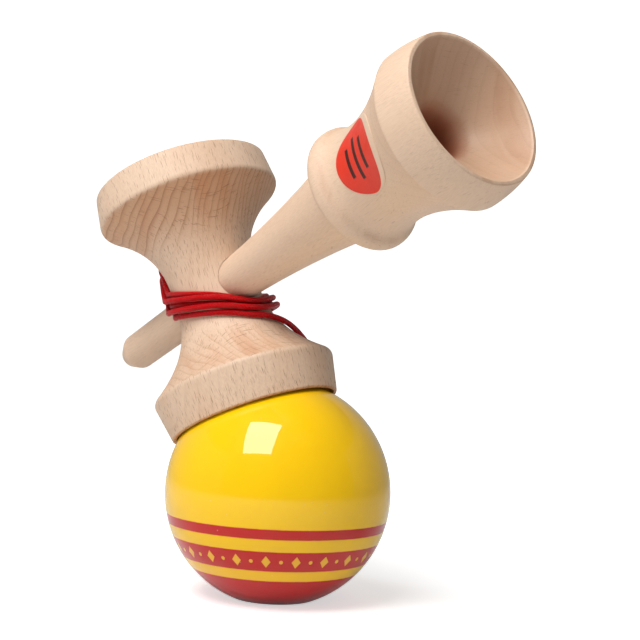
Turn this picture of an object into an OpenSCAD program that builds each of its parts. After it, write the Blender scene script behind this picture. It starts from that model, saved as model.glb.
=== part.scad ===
// Cup and ball toy: a turned handle through a two-cup crosspiece, standing with its small cup on the ball.
// Millimetres, +Z up. The origin is the centre of the ball's hole, on the surface that the ball stands on.
// The crosspiece leans towards -X and the handle's base cup points towards +X.

/* [Ball] */
// Diameter of the ball
ball_d = 60; // [54:1:66]
// Diameter of the hole that the spike goes into
peg_hole_d = 20.4; // [17:0.2:23]
// Depth of the hole's straight wall
peg_hole_wall = 30; // [27:0.5:31]
// Bevel round the mouth of the hole
peg_hole_bevel = 0.5; // [0.3:0.1:1]
// Half angle of the drilled ends
drill_point = 59; // [55:1:65]
// Diameter of the narrower room for the bead
bead_room_d = 10.4; // [9.8:0.2:12]
// Height of the bead's room above the hole's straight wall
bead_room_h = 11; // [10:0.5:13]
// Diameter of the string's hole at the top of the ball
top_hole_d = 3.2; // [2.6:0.1:4]
// Bevel round the top of the string's hole
top_hole_bevel = 0.6; // [0.3:0.1:1]

/* [Crosspiece] */
// Height of the handle's bore above the small cup's rim
small_end = 36.3; // [34:0.1:40]
// Height of the big cup's rim above the handle's bore
big_end = 35.5; // [33:0.5:40]
// Radius of the waist between the cups
waist_r = 11.9; // [11.2:0.1:13]
// Distance of the narrowest place below the bore
waist_drop = 0.6; // [0:0.1:1.5]
// Radius of the small cup at its rim
small_rim_r = 23.2; // [22.6:0.1:24.4]
// Radius of the small cup at its shoulder
small_shoulder_r = 25.4; // [24.6:0.1:27]
// Height of the small cup's band
small_band = 10.8; // [8:0.1:13]
// Hollowness of the flare to the small cup
small_flare = 2.4; // [1.8:0.1:3]
// Radius of the big cup at its rim
big_rim_r = 24.6; // [23:0.1:26]
// Radius of the big cup at its shoulder
big_shoulder_r = 25.8; // [24.8:0.1:28]
// Height of the big cup's band
big_band = 9.2; // [7:0.5:12]
// Hollowness of the flare to the big cup
big_flare = 2.9; // [2.2:0.1:3.4]
// Width of the cups' lips
cup_lip = 1; // [0.8:0.1:1.4]
// Depth of each cup's bowl
cup_depth = 13; // [11.5:0.5:15]
// Roundness of the bowls, where 2 is an ellipse
bowl_round = 2.4; // [2.2:0.1:3]
// Rounding of the shoulders
shoulder_round = 1.2; // [0.6:0.1:1.6]
// Rounding of the rims' outer edges
rim_round = 0.6; // [0.3:0.1:0.9]

/* [Handle] */
// Length of the spike past the crosspiece's axis
spike_len = 47.5; // [42:0.5:55]
// Radius of the spike's flat tip
tip_r = 3.2; // [2:0.1:4.2]
// Length of the bevel at the tip
tip_bevel = 4.6; // [2:0.2:7]
// Radius of the spike
spike_r = 5.4; // [4.8:0.1:6]
// Distance of the collar from the crosspiece's axis
collar_at = 63; // [56:0.5:72]
// Radius of the shaft where it meets the collar
shaft_root_r = 11.7; // [10:0.1:13]
// How late the shaft swells towards the collar
shaft_flare = 3; // [2.6:0.1:4]
// Radius of the collar
collar_r = 16.3; // [14.8:0.1:18]
// Length of the collar's edge
collar_edge = 3.2; // [2:0.1:4.5]
// Rounding of the collar's edge
collar_round = 1.5; // [0.6:0.1:1.6]
// Length of the curve from the collar to the neck
collar_fall = 8; // [5:0.5:12]
// Radius of the neck
neck_r = 13.9; // [12.6:0.1:14.6]
// Length of the curve from the neck to the base cup's bell
bell_rise = 20; // [15:0.5:26]
// Radius of the bell at its widest
bell_r = 20.7; // [18.6:0.1:22.6]
// Length of the bell from its widest place to the rim
bell_len = 9.8; // [7:0.2:13]
// Radius of the base cup at its rim
base_rim_r = 19.3; // [17.6:0.1:20.4]
// Width of the base cup's lip
base_lip = 0.9; // [0.6:0.1:1.5]
// Depth of the base cup's funnel
base_depth = 16; // [13:0.5:19]
// Share of the funnel's width that is left where its wall starts to ease
base_ease = 0.55; // [0.4:0.05:0.7]
// Share of the funnel's depth where it turns into the hole
base_turn = 0.45; // [0.3:0.05:0.6]
// Radius of the deep hole in the base cup
base_hole_r = 6; // [5:0.1:7]
// Depth of that hole below the funnel
base_hole_depth = 8.5; // [5:0.5:12]

/* [String] */
// Diameter of the string
string_d = 1.4; // [1.2:0.1:1.5]
// Distance of the wound string from the wood
string_gap = 0.15; // [0.1:0.05:0.3]
// Radius of the string's hole in the crosspiece
string_hole_r = 0.95; // [0.85:0.05:1.2]
// Radius of the pocket for the knot beside the bore
knot_pocket_r = 2.2; // [2:0.1:2.6]
// Diameter of the bead inside the ball
bead_d = 8.6; // [7:0.2:9]
// Diameter of the hole in the bead
bead_hole_d = 2; // [1.8:0.1:2.6]
// Size of a knot across its loops
knot_d = 3.8; // [3.2:0.1:4]

/* [Sticker] */
// Length of the oval sticker round the neck
sticker_w = 19; // [14:0.2:22]
// Length of the sticker along the handle
sticker_l = 17; // [12:0.2:18]
// Thickness of the sticker
sticker_t = 0.2; // [0.15:0.05:0.4]
// Distance of the sticker's middle from the collar's edge
sticker_at = 13.8; // [13:0.2:16]
// Turn of the sticker about the handle
sticker_turn = 268; // [0:1:359]

/* [Pose and fits] */
// Lean of the crosspiece from upright
lean = 24.4; // [15:0.2:30]
// Turn of the handle about the crosspiece's axis
handle_turn = -17; // [-30:1:0]
// Clearance of the shaft in its bore
shaft_clear = 0.08; // [0.05:0.01:0.1]
// Least gap between the small cup's lip and the ball
seat_gap = 0.3; // [0.25:0.05:0.5]
// Extra gap where the string passes under the lip
string_lift = 0.6; // [0.5:0.05:0.8]
// Gap between the bead and its seat
bead_gap = 0.3; // [0.2:0.05:0.5]

/* [Hidden] */
$fn = 96;

beech = [0.88, 0.74, 0.61];
yellow = [1.0, 0.82, 0.05];
string_red = [0.84, 0.08, 0.13];
label_red = [0.89, 0.25, 0.17];
curve_steps = 12; // straight pieces in each turned curve
past = 6; // how far a cutting shape runs past what it cuts

// Ball
ball_r = ball_d / 2;
peg_hole_r = peg_hole_d / 2;
stand_r = peg_hole_r + peg_hole_bevel;
ball_z = sqrt(pow(ball_r, 2) - pow(stand_r, 2));
ball_top = ball_z + ball_r;
top_hole_r = top_hole_d / 2;
bead_room_r = bead_room_d / 2;
bead_room_start = peg_hole_wall + (peg_hole_r - bead_room_r) / tan(drill_point);
bead_room_end = peg_hole_wall + bead_room_h;
cone_end = bead_room_end + (bead_room_r - top_hole_r) / tan(drill_point);
bead_r = bead_d / 2;
// The bead hangs in the drilled end of its room, whose point would lie at cone_point
cone_point = bead_room_end + bead_room_r / tan(drill_point);
bead_z = cone_point - (bead_r + bead_gap) / sin(drill_point);

// Seat of the small cup on the ball: the lip's inner edge keeps seat_gap at one side and string_lift more
// at the side where the string passes
small_in_r = small_rim_r - cup_lip;
big_in_r = big_rim_r - cup_lip;
lip_height = sqrt(pow(ball_r, 2) - pow(small_in_r, 2));
seat_rise = (seat_gap + string_lift / 2) * ball_r / lip_height;
seat_shift = string_lift / 2 * ball_r / small_in_r;
pinch_turn = 80; // turn of the place where the string passes under the lip
bore_height = lip_height + seat_rise + small_end;
cross_offset = [seat_shift * cos(pinch_turn), seat_shift * sin(pinch_turn), bore_height];

// Profile of the handle along its axis, measured from the crosspiece's axis
collar_top = collar_at + collar_edge;
neck_at = collar_top + collar_fall;
bell_at = neck_at + bell_rise;
rim_at = bell_at + bell_len;
taper_start = -spike_len + tip_bevel;
collar_curve = 3.6; // how fast the collar falls to the neck
bell_curve = 1.75; // how fast the neck opens to the bell

function shaft_r_at(u) =
    spike_r + (shaft_root_r - spike_r) * pow((u - taper_start) / (collar_at - taper_start), shaft_flare);
function neck_r_at(u) =
    u < neck_at
        ? neck_r + (collar_r - neck_r) * pow((neck_at - u) / collar_fall, collar_curve)
        : neck_r + (bell_r - neck_r) * pow((u - neck_at) / bell_rise, bell_curve);

// Profile of the crosspiece along its axis, measured from the handle's bore
function waist_r_at(s) =
    s < -waist_drop
        ? waist_r + (small_shoulder_r - waist_r)
            * pow((-waist_drop - s) / (small_end - small_band - waist_drop), small_flare)
        : waist_r + (big_shoulder_r - waist_r)
            * pow((s + waist_drop) / (big_end - big_band + waist_drop), big_flare);

// A corner c between p and q rounded over the length d on each side
function unit(v) = v / norm(v);
function rounded(p, c, q, d) =
    let (a = c + d * unit(p - c), b = c + d * unit(q - c))
    [for (i = [0 : 4]) let (t = i / 4) pow(1 - t, 2) * a + 2 * t * (1 - t) * c + pow(t, 2) * b];

// Half profile of a bowl from its lip to its bottom, as [radius, depth]
function bowl(r, depth, n) =
    [for (i = [0 : curve_steps])
        let (a = 90 * i / curve_steps)
        [r * pow(cos(a), 2 / n), depth * pow(sin(a), 2 / n)]];

// Half profile of a funnel from its lip to the hole that it eases into, as [radius past the hole, depth]
function funnel(r, depth) =
    [for (i = [0 : curve_steps])
        let (t = i / curve_steps, q = 1 - t)
        [r * pow(q, 2) * (q + 3 * t * base_ease), depth * t * (3 * q * base_turn + pow(t, 2))]];

// From the crosspiece's own frame to the part's frame
function lean_turn(p) = [p[0] * cos(lean) - p[2] * sin(lean), p[1], p[0] * sin(lean) + p[2] * cos(lean)];
function placed(p) = [0, 0, ball_z] + lean_turn(p + cross_offset);
function round_axis(turn, r, s) = [r * cos(turn), r * sin(turn), s];

module crosspiece_frame() {
    translate([0, 0, ball_z]) rotate([0, -lean, 0]) translate(cross_offset) children();
}
module handle_frame() {
    crosspiece_frame() rotate([0, 0, handle_turn]) rotate([0, 90, 0]) children();
}

// Tube of the given number of sides along a list of points, squashed towards the ball's surface by squash[i]
function tangents(p) =
    let (n = len(p) - 1)
    [for (i = [0 : n]) unit(p[min(i + 1, n)] - p[max(i - 1, 0)])];
function side_of(t, v) = unit(v - (v * t) * t);
function sides_along(t) =
    let (n = len(t))
    [for (i = 0, v = side_of(t[0], [0.3, 0.5, 0.8]); i < n; i = i + 1, v = side_of(t[min(i, n - 1)], v)) v];
function ring(c, t, v, r, sides, q, k) =
    [for (j = [0 : sides - 1])
        let (a = 360 * j / sides, o = r * (cos(a) * v + sin(a) * cross(t, v)))
        c + o - (1 - k) * (o * q) * q];
module tube(p, r, sides, squash = []) {
    t = tangents(p);
    v = sides_along(t);
    n = len(p);
    points = [for (i = [0 : n - 1])
        let (out = unit(p[i] - [0, 0, ball_z]), k = len(squash) > i ? squash[i] : 1)
        each ring(p[i], t[i], v[i], r, sides, out, k)];
    walls = [for (i = [0 : n - 2], j = [0 : sides - 1])
        let (a = i * sides + j, b = i * sides + (j + 1) % sides)
        each [[a, a + sides, b], [b, a + sides, b + sides]]];
    start = [for (j = [1 : sides - 2]) [0, j, j + 1]];
    last = (n - 1) * sides;
    end = [for (j = [1 : sides - 2]) [last, last + j + 1, last + j]];
    polyhedron(points, concat(walls, start, end), convexity = 10);
}

// Winding of the string: five passes round the waist, under the handle in front and over the spike behind.
// Each pass lies a step below the last, and every other pass rides on its neighbours.
string_r = string_d / 2;
string_turn = handle_turn + 90; // the string's hole is at right angles to the bore
loop_rings = 24;
winding_turns = 4.73;
winding_mid = 2.59; // the pass that follows the middle of the winding
mid_height = -3.31;
mid_slant = 4.57;
mid_turn = -7;
dip = 2.19; // extra drop under the handle
dip_width = 29.3;
climb = 9.67; // extra rise over the spike
climb_width = 33.6;
climb_power = 3.66; // how square the shoulders of that rise are
climb_spread = 1.3; // the steps widen over this many times its width
climb_extra = 0.3;
step_mean = 1.52;
step_swing = 0.3;
step_extra = 0.68; // wider steps where the passes change places
swap_turn = 90.4;
swap_width = 30.2;
layer_rise = 1.07 * string_d;

function wrapped(a) = (a % 360 + 540) % 360 - 180;
function hump(a, width, power) = exp(-pow(abs(wrapped(a)) / width, power));
function winding_middle(a) =
    mid_height - mid_slant * cos(a - mid_turn)
    - dip * hump(a - handle_turn, dip_width, 2)
    + climb * hump(a - handle_turn - 180, climb_width, climb_power);
function winding_step(a) =
    step_mean - step_swing * cos(a) + step_extra * hump(a - swap_turn, swap_width, 2)
    + climb_extra * hump(a - handle_turn - 180, climb_spread * climb_width, climb_power);
function winding_layer(a) = 0.5 - 0.5 * max(-1, min(1, 5 * sin((a - swap_turn) / 2)));
function winding_s(a) =
    winding_middle(a) - winding_step(a) * ((a - string_turn) / 360 - winding_mid);

// A point at the distance lift from the wood, square to its surface
function waist_slope_at(s) = (waist_r_at(s + 0.1) - waist_r_at(s - 0.1)) / 0.2;
function off_waist(turn, s, lift) =
    let (slope = waist_slope_at(s), out = lift / norm([1, slope]))
    round_axis(turn, waist_r_at(s) + out, s - out * slope);
function winding_at(a) = off_waist(a, winding_s(a), string_r + string_gap + layer_rise * winding_layer(a));

winding_last = string_turn + 360 * winding_turns;
lead_bend = 2.9; // radius of the bend from the string's hole into the first pass
lead_start = waist_r - 0.4; // where that bend starts
lead_rings = 3; // rings of the first loop that the bend takes the place of
lead_s = winding_s(string_turn + 15);
pocket_end = waist_r - 2; // distance of the pocket's end from the crosspiece's axis
knot_gap = 0.1; // gap between the string's end and the knot
lead_points = [for (r = [pocket_end + string_gap, waist_r - 1.2, lead_start])
    round_axis(string_turn, r, lead_s)];
bend_points = [for (b = [22.5 : 22.5 : 135])
    round_axis(string_turn, lead_start + lead_bend * sin(b), lead_s)
        + lead_bend * (1 - cos(b)) * round_axis(string_turn + 90, 1, 0)];
loop_points = [for (i = [lead_rings : floor(loop_rings * winding_turns)])
    winding_at(string_turn + 360 / loop_rings * i)];
winding_out = winding_at(winding_last);
winding_way = unit(winding_out - winding_at(winding_last - 6));
winding_end = winding_out + string_d * winding_way;
winding_route = concat(lead_points, bend_points, loop_points, [winding_out, winding_end]);
winding_points = [for (p = winding_route) placed(p)];
passes = concat(bend_points, loop_points);
pass_last = len(passes) - 1;
winding_gap = min([for (i = [0 : pass_last], j = [i + loop_rings / 2 : 1 : pass_last])
    norm(passes[i] - passes[j])]) - string_d;
echo(least_gap_in_winding = winding_gap);

// Route of the string's tail, as [turn, radius, height] in the crosspiece's frame: down the outside of
// the small cup, with heights from the bore
tail_outside = [[0, 15.8, -13.5], [14, 16.5, -14.7], [28, 17.5, -16.2],
    [41, 19.2, -18.3], [53, 21.7, -21], [63, 24.8, -23.8], [70, 26.6, -26.2],
    [75, 25.8, -29.8], [78, 25, -33.2], [80, 24.4, -36]];
// Then under its lip and over the top of the ball, with heights from the small cup's rim
tail_under_lip = [[pinch_turn, small_in_r + 1.4, -1.1], [pinch_turn, small_in_r - 0.3, -0.35]];
tail_inside = [[76, 20, 2.4], [66, 18.6, 4.1], [50, 16.8, 5.9], [32, 15.2, 7.3],
    [18, 14.4, 8.3], [11, 14.1, 8.9], [5, 13.8, 9.2], [0, 13.5, 8.7]];
// Heights of its last points, down the string's hole and through the bead to the knot
tail_down = [ball_top + 1, ball_top - 1.6, ball_top - 6, ball_top - 11,
    bead_z + bead_r, bead_z, bead_z - bead_r + knot_gap];
tail_flat = 0.42; // how flat the string is pressed under the lip
tail_half_flat = 0.75; // and just before and after it
tail_start = placed(winding_end);
tail_points = concat(
    [tail_start, tail_start + string_d * (placed(winding_way) - placed([0, 0, 0]))],
    [for (p = tail_outside) placed(round_axis(p[0], p[1], p[2]))],
    [for (p = concat(tail_under_lip, tail_inside)) placed(round_axis(p[0], p[1], p[2] - small_end))],
    [for (z = tail_down) [0, 0, z]]);
tail_lip_at = 2 + len(tail_outside);
tail_squash = [for (i = [0 : len(tail_points) - 1])
    let (away = abs(i - tail_lip_at - 0.5))
    away < 1 ? tail_flat : away < 2 ? tail_half_flat : 1];

module turned_ball() {
    difference() {
        translate([0, 0, ball_z]) sphere(ball_r);
        rotate_extrude() polygon([
            [0, -past], [stand_r + past, -past], [peg_hole_r, peg_hole_bevel], [peg_hole_r, peg_hole_wall],
            [bead_room_r, bead_room_start], [bead_room_r, bead_room_end],
            [top_hole_r, cone_end], [top_hole_r, ball_top - top_hole_bevel],
            [top_hole_r + past, ball_top - top_hole_bevel + past], [0, ball_top - top_hole_bevel + past]]);
    }
}

module ball() {
    color(yellow) turned_ball();
}

module crosspiece_turning() {
    low = -small_end;
    low_shoulder = low + small_band;
    high_shoulder = big_end - big_band;
    small_lip = [small_rim_r, low];
    small_shoulder = [small_shoulder_r, low_shoulder];
    big_shoulder = [big_shoulder_r, high_shoulder];
    big_lip = [big_rim_r, big_end];
    flare_low = [for (i = [1 : curve_steps - 1])
        let (s = low_shoulder + (-waist_drop - low_shoulder) * i / curve_steps) [waist_r_at(s), s]];
    flare_high = [for (i = [0 : curve_steps - 1])
        let (s = -waist_drop + (high_shoulder + waist_drop) * i / curve_steps) [waist_r_at(s), s]];
    big_bowl = [for (p = bowl(big_in_r, cup_depth, bowl_round)) [p[0], big_end - p[1]]];
    small_bowl = [for (p = bowl(small_in_r, cup_depth, bowl_round)) [p[0], low + p[1]]];
    rotate_extrude() polygon(concat(
        rounded([small_in_r, low], small_lip, small_shoulder, rim_round),
        rounded(small_lip, small_shoulder, flare_low[0], shoulder_round),
        flare_low, flare_high,
        rounded(flare_high[curve_steps - 1], big_shoulder, big_lip, shoulder_round),
        rounded(big_shoulder, big_lip, [big_in_r, big_end], rim_round),
        big_bowl,
        [for (i = [curve_steps : -1 : 0]) small_bowl[i]]));
}

// Bore for the shaft, with the shaft's own taper, right through the crosspiece
module shaft_bore() {
    from = -small_shoulder_r;
    to = small_shoulder_r;
    rotate([0, 0, handle_turn]) rotate([0, 90, 0]) rotate_extrude() polygon(concat(
        [[0, from]],
        [for (i = [0 : curve_steps])
            let (u = from + (to - from) * i / curve_steps)
            [shaft_r_at(u) + shaft_clear, u]],
        [[0, to]]));
}

module string_hole() {
    translate([0, 0, lead_s]) rotate([0, 0, string_turn]) rotate([0, 90, 0]) {
        cylinder(r = string_hole_r, h = waist_r + past);
        cylinder(r = knot_pocket_r, h = pocket_end);
    }
}

module crosspiece() {
    color(beech) crosspiece_frame() difference() {
        crosspiece_turning();
        shaft_bore();
        string_hole();
    }
}

module handle() {
    tip = [tip_r, -spike_len];
    bevel = [spike_r, taper_start];
    shaft = [for (i = [1 : curve_steps])
        let (u = taper_start + (collar_at - taper_start) * i / curve_steps) [shaft_r_at(u), u]];
    collar_low = [collar_r, collar_at];
    collar_high = [collar_r, collar_top];
    neck = [for (i = [1 : curve_steps - 1])
        let (u = collar_top + collar_fall * i / curve_steps) [neck_r_at(u), u]];
    rise = [for (i = [0 : curve_steps]) let (u = neck_at + bell_rise * i / curve_steps) [neck_r_at(u), u]];
    bell = [for (i = [1 : 6])
        let (t = i / 6) [bell_r - (bell_r - base_rim_r) * pow(t, 2), bell_at + bell_len * t]];
    hollow_r = base_rim_r - base_lip;
    hollow = [for (p = funnel(hollow_r - base_hole_r, base_depth)) [base_hole_r + p[0], rim_at - p[1]]];
    hole_end = rim_at - base_depth - base_hole_depth;
    color(beech) handle_frame() rotate_extrude() polygon(concat(
        [[0, -spike_len], tip],
        rounded(tip, bevel, shaft[0], rim_round),
        shaft,
        rounded(shaft[curve_steps - 1], collar_low, collar_high, collar_round),
        rounded(collar_low, collar_high, neck[0], collar_round),
        neck, rise, bell, hollow,
        [[base_hole_r, hole_end], [0, hole_end - base_hole_r / tan(drill_point)]]));
}

module string_winding() {
    color(string_red) tube(winding_points, string_r, 6);
}

module string_tail() {
    color(string_red) tube(tail_points, string_r, 8, tail_squash);
}

// A knot, drawn as a closed cord in three loops that cross each other
knot_rings = 36;
knot_cord = 0.18; // thickness of its cord against its width
knot_lift = 1.6; // how far its loops stand over each other
function knot_scale(size) = size * (1 - knot_cord) / 6;
function knot_cord_r(size) = size * knot_cord / 2;
function knot_height(size) = 2 * (knot_lift * knot_scale(size) + knot_cord_r(size));
module knot(size) {
    k = knot_scale(size);
    r = knot_cord_r(size);
    p = [for (i = [0 : knot_rings - 1]) let (a = 360 * i / knot_rings)
        k * [sin(a) + 2 * sin(2 * a), cos(a) - 2 * cos(2 * a), -knot_lift * sin(3 * a)]];
    t = [for (i = [0 : knot_rings - 1]) unit(p[(i + 1) % knot_rings] - p[(i + knot_rings - 1) % knot_rings])];
    v = [for (i = [0 : knot_rings - 1]) side_of(t[i], p[i] + [0, 0, 9 * size])];
    points = [for (i = [0 : knot_rings - 1]) each ring(p[i], t[i], v[i], r, 6, [0, 0, 1], 1)];
    faces = [for (i = [0 : knot_rings - 1], j = [0 : 5])
        let (here = i * 6, next = (i + 1) % knot_rings * 6, m = (j + 1) % 6)
        each [[here + j, next + j, here + m], [here + m, next + j, next + m]]];
    polyhedron(points, faces, convexity = 6);
}

// Knot in its pocket beside the bore, pulled against the pocket's end
anchor_r = pocket_end - knot_gap - knot_height(knot_d) / 2;
module anchor_knot() {
    color(string_red) crosspiece_frame()
        translate(round_axis(string_turn, anchor_r, lead_s))
        rotate([0, 0, string_turn]) rotate([0, 90, 0]) knot(knot_d);
}

module string_bead() {
    color(beech) translate([0, 0, bead_z]) difference() {
        sphere(bead_r);
        cylinder(d = bead_hole_d, h = bead_d + past, center = true);
    }
}

// Knot that the bead rests on
module bead_knot() {
    color(string_red) translate([0, 0, bead_z - bead_r - knot_height(knot_d) / 2]) knot(knot_d);
}

// Oval sticker that follows the neck
module sticker() {
    middle = collar_top + sticker_at;
    reach = sticker_l + 1;
    glue = 0.05;
    function skin(lift) = [for (i = [0 : 16])
        let (u = middle + reach * (i / 16 - 0.5))
        [neck_r_at(u) + lift, u]];
    outer = skin(glue + sticker_t);
    inner = skin(glue);
    oval = [for (i = [0 : 47]) [sticker_l / 2 * cos(7.5 * i), sticker_w / 2 * sin(7.5 * i)]];
    color(label_red) handle_frame() intersection() {
        rotate_extrude() polygon(concat(outer, [for (i = [16 : -1 : 0]) inner[i]]));
        rotate([0, 0, sticker_turn]) rotate([0, 90, 0]) translate([-middle, 0, 0])
            linear_extrude(height = bell_r + past) polygon(oval);
    }
}

ball();
crosspiece();
handle();
string_winding();
string_tail();
anchor_knot();
string_bead();
bead_knot();
sticker();
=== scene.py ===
from math import sin, cos, tan, atan2, sqrt, pi, radians, exp, hypot
import bpy
import bmesh
from mathutils import Vector, Matrix


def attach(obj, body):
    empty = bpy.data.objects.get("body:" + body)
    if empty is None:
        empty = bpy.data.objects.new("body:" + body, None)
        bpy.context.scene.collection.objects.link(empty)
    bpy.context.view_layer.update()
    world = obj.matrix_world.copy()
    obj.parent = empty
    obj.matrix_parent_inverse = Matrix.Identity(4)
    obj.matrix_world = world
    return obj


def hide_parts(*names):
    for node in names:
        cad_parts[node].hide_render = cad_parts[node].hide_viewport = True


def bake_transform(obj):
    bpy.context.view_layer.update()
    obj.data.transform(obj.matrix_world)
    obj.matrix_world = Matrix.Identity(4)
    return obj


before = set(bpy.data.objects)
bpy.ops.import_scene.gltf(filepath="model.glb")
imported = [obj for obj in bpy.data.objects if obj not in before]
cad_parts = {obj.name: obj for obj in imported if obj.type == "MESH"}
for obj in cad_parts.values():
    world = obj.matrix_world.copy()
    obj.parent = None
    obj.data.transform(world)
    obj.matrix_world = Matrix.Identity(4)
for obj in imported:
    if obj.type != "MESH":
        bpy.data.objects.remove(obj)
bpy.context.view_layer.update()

mm = 0.001
scene = bpy.context.scene
scene.view_settings.view_transform = "Standard"


def link(obj):
    scene.collection.objects.link(obj)
    return obj


def toMesh(form, name, outward=True):
    if outward:
        bmesh.ops.recalc_face_normals(form, faces=form.faces)
    mesh = bpy.data.meshes.new(name)
    form.to_mesh(mesh)
    form.free()
    return mesh


# Smooth faces with a crease where they meet at more than an angle
def smoothFaces(mesh, crease=32):
    mesh.polygons.foreach_set("use_smooth", [True] * len(mesh.polygons))
    mesh.set_sharp_from_angle(angle=radians(crease))


# Camera where the photo was taken from
cameraSet = {
    "place": (0.18854, -0.28591, 0.06592),
    "right": (0.8488, 0.5267, 0.0464),
    "up": (-0.0265, -0.0452, 0.9986),
    "lens": 71.96,
}


def setCamera(c):
    right = Vector(c["right"]).normalized()
    up = Vector(c["up"])
    up = (up - up.dot(right) * right).normalized()
    data = bpy.data.cameras.new("photoCamera")
    data.sensor_fit = "HORIZONTAL"
    data.sensor_width = 36
    data.lens = c["lens"]
    data.clip_start = 0.01
    obj = link(bpy.data.objects.new("photoCamera", data))
    turn = Matrix((right, up, right.cross(up))).transposed().to_4x4()
    obj.matrix_world = Matrix.Translation(c["place"]) @ turn
    scene.camera = obj


setCamera(cameraSet)
print("camera set")

# How the toy stands, in mm and degrees, as the solids have it
toy = {
    "ballR": 30,
    "standR": 10.7,  # the ball stands on the rim of its hole
    "lean": 24.4,
    "handleTurn": -17,
    "smallEnd": 36.3,
    "smallInR": 22.2,
    "seatGap": 0.3,
    "stringLift": 0.6,
    "pinchTurn": 80,  # where the string passes under the small cup's lip
}
ballZ = sqrt(toy["ballR"] ** 2 - toy["standR"] ** 2)
ballTop = ballZ + toy["ballR"]


def standFrame(t):
    lip = sqrt(t["ballR"] ** 2 - t["smallInR"] ** 2)
    rise = (t["seatGap"] + t["stringLift"] / 2) * t["ballR"] / lip
    shift = t["stringLift"] / 2 * t["ballR"] / t["smallInR"]
    a = radians(t["pinchTurn"])
    offset = Vector((shift * cos(a), shift * sin(a), lip + rise + t["smallEnd"]))
    lean = Matrix.Rotation(-radians(t["lean"]), 4, "Y")
    return Matrix.Translation((0, 0, ballZ)) @ lean @ Matrix.Translation(offset)


def inMetres(m):
    m = m.copy()
    m.translation = m.translation * mm
    return m


crossFrame = standFrame(toy)
sideways = Matrix.Rotation(pi / 2, 4, "Y")
handleFrame = crossFrame @ Matrix.Rotation(radians(toy["handleTurn"]), 4, "Z") @ sideways
ballFrame = Matrix.Identity(4)

# Outlines of the turned pieces
cross = {
    "bigEnd": 35.5, "waistR": 11.9, "waistDrop": 0.6,
    "smallRimR": 23.2, "smallShoulderR": 25.4, "smallBand": 10.8, "smallFlare": 2.4,
    "bigRimR": 24.6, "bigShoulderR": 25.8, "bigBand": 9.2, "bigFlare": 2.9,
    "lip": 1.0, "cupDepth": 13, "bowlRound": 2.4, "shoulderRound": 1.2, "rimRound": 0.6,
    "flareIn": 1.3, "flareSteps": 84,
}


def waistAt(s):
    c = cross
    if s < -c["waistDrop"]:
        part = (-c["waistDrop"] - s) / (toy["smallEnd"] - c["smallBand"] - c["waistDrop"])
        return c["waistR"] + (c["smallShoulderR"] - c["waistR"]) * part ** c["smallFlare"]
    part = (s + c["waistDrop"]) / (c["bigEnd"] - c["bigBand"] + c["waistDrop"])
    return c["waistR"] + (c["bigShoulderR"] - c["waistR"]) * part ** c["bigFlare"]


# The string: one braided cord, wound round the waist and led under the small cup to the bead
cord = {
    "thick": 1.4,  # real thickness in mm, as in the solids
    "full": 1.56,  # over its braid
    "gap": 0.15,
    "turns": 4.73, "midPass": 2.59, "midHeight": -3.31, "midSlant": 4.57, "midTurn": -7,
    "dip": 2.19, "dipWidth": 29.3,  # drop under the handle
    # climb over the spike
    "climb": 9.67, "climbWidth": 33.6, "climbPower": 3.66, "climbSpread": 1.3, "climbExtra": 0.3,
    # from pass to pass
    "step": 1.52, "stepSwing": 0.3, "stepExtra": 0.68, "swapTurn": 90.4, "swapWidth": 30.2,
    "layerRise": 1.498, "layerSwap": 5, "passStep": 15,
    # out of its hole
    "pocketEnd": 9.9, "holeAhead": 15, "leadFrom": 1.2, "leadIn": 0.4,
    "leadBend": 2.9, "leadStep": 22.5, "leadSteps": 6, "leadRings": 3, "lastAim": 6,
    "pressed": 0.42, "pressedNear": 0.75,  # share of its thickness under the small cup's lip
    "plait": 0.84,  # length of one plait along the cord
    "plaits": 5,  # strands round the cord each way
    "relief": 0.02,
    "sides": 20, "ringStep": 0.14,
}
stringTurn = toy["handleTurn"] + 90


def wrapped(a):
    return (a + 180) % 360 - 180


def hump(a, width, power):
    return exp(-(abs(wrapped(a)) / width) ** power)


def windingHeight(a):
    c = cord
    front, back = a - toy["handleTurn"], a - toy["handleTurn"] - 180
    middle = c["midHeight"] - c["midSlant"] * cos(radians(a - c["midTurn"]))
    middle -= c["dip"] * hump(front, c["dipWidth"], 2)
    middle += c["climb"] * hump(back, c["climbWidth"], c["climbPower"])
    step = c["step"] - c["stepSwing"] * cos(radians(a))
    step += c["stepExtra"] * hump(a - c["swapTurn"], c["swapWidth"], 2)
    step += c["climbExtra"] * hump(back, c["climbSpread"] * c["climbWidth"], c["climbPower"])
    return middle - step * ((a - stringTurn) / 360 - c["midPass"])


def roundAxis(turn, r, s):
    return Vector((r * cos(radians(turn)), r * sin(radians(turn)), s))


# A point of the winding, off the wood square to its surface
def windingAt(a):
    c = cord
    s = windingHeight(a)
    near = 0.1
    slope = (waistAt(s + near) - waistAt(s - near)) / (2 * near)
    layer = 0.5 - 0.5 * max(-1, min(1, c["layerSwap"] * sin(radians(a - c["swapTurn"]) / 2)))
    out = (c["thick"] / 2 + c["gap"] + c["layerRise"] * layer) / hypot(1, slope)
    return roundAxis(a, waistAt(s) + out, s - out * slope)


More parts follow.
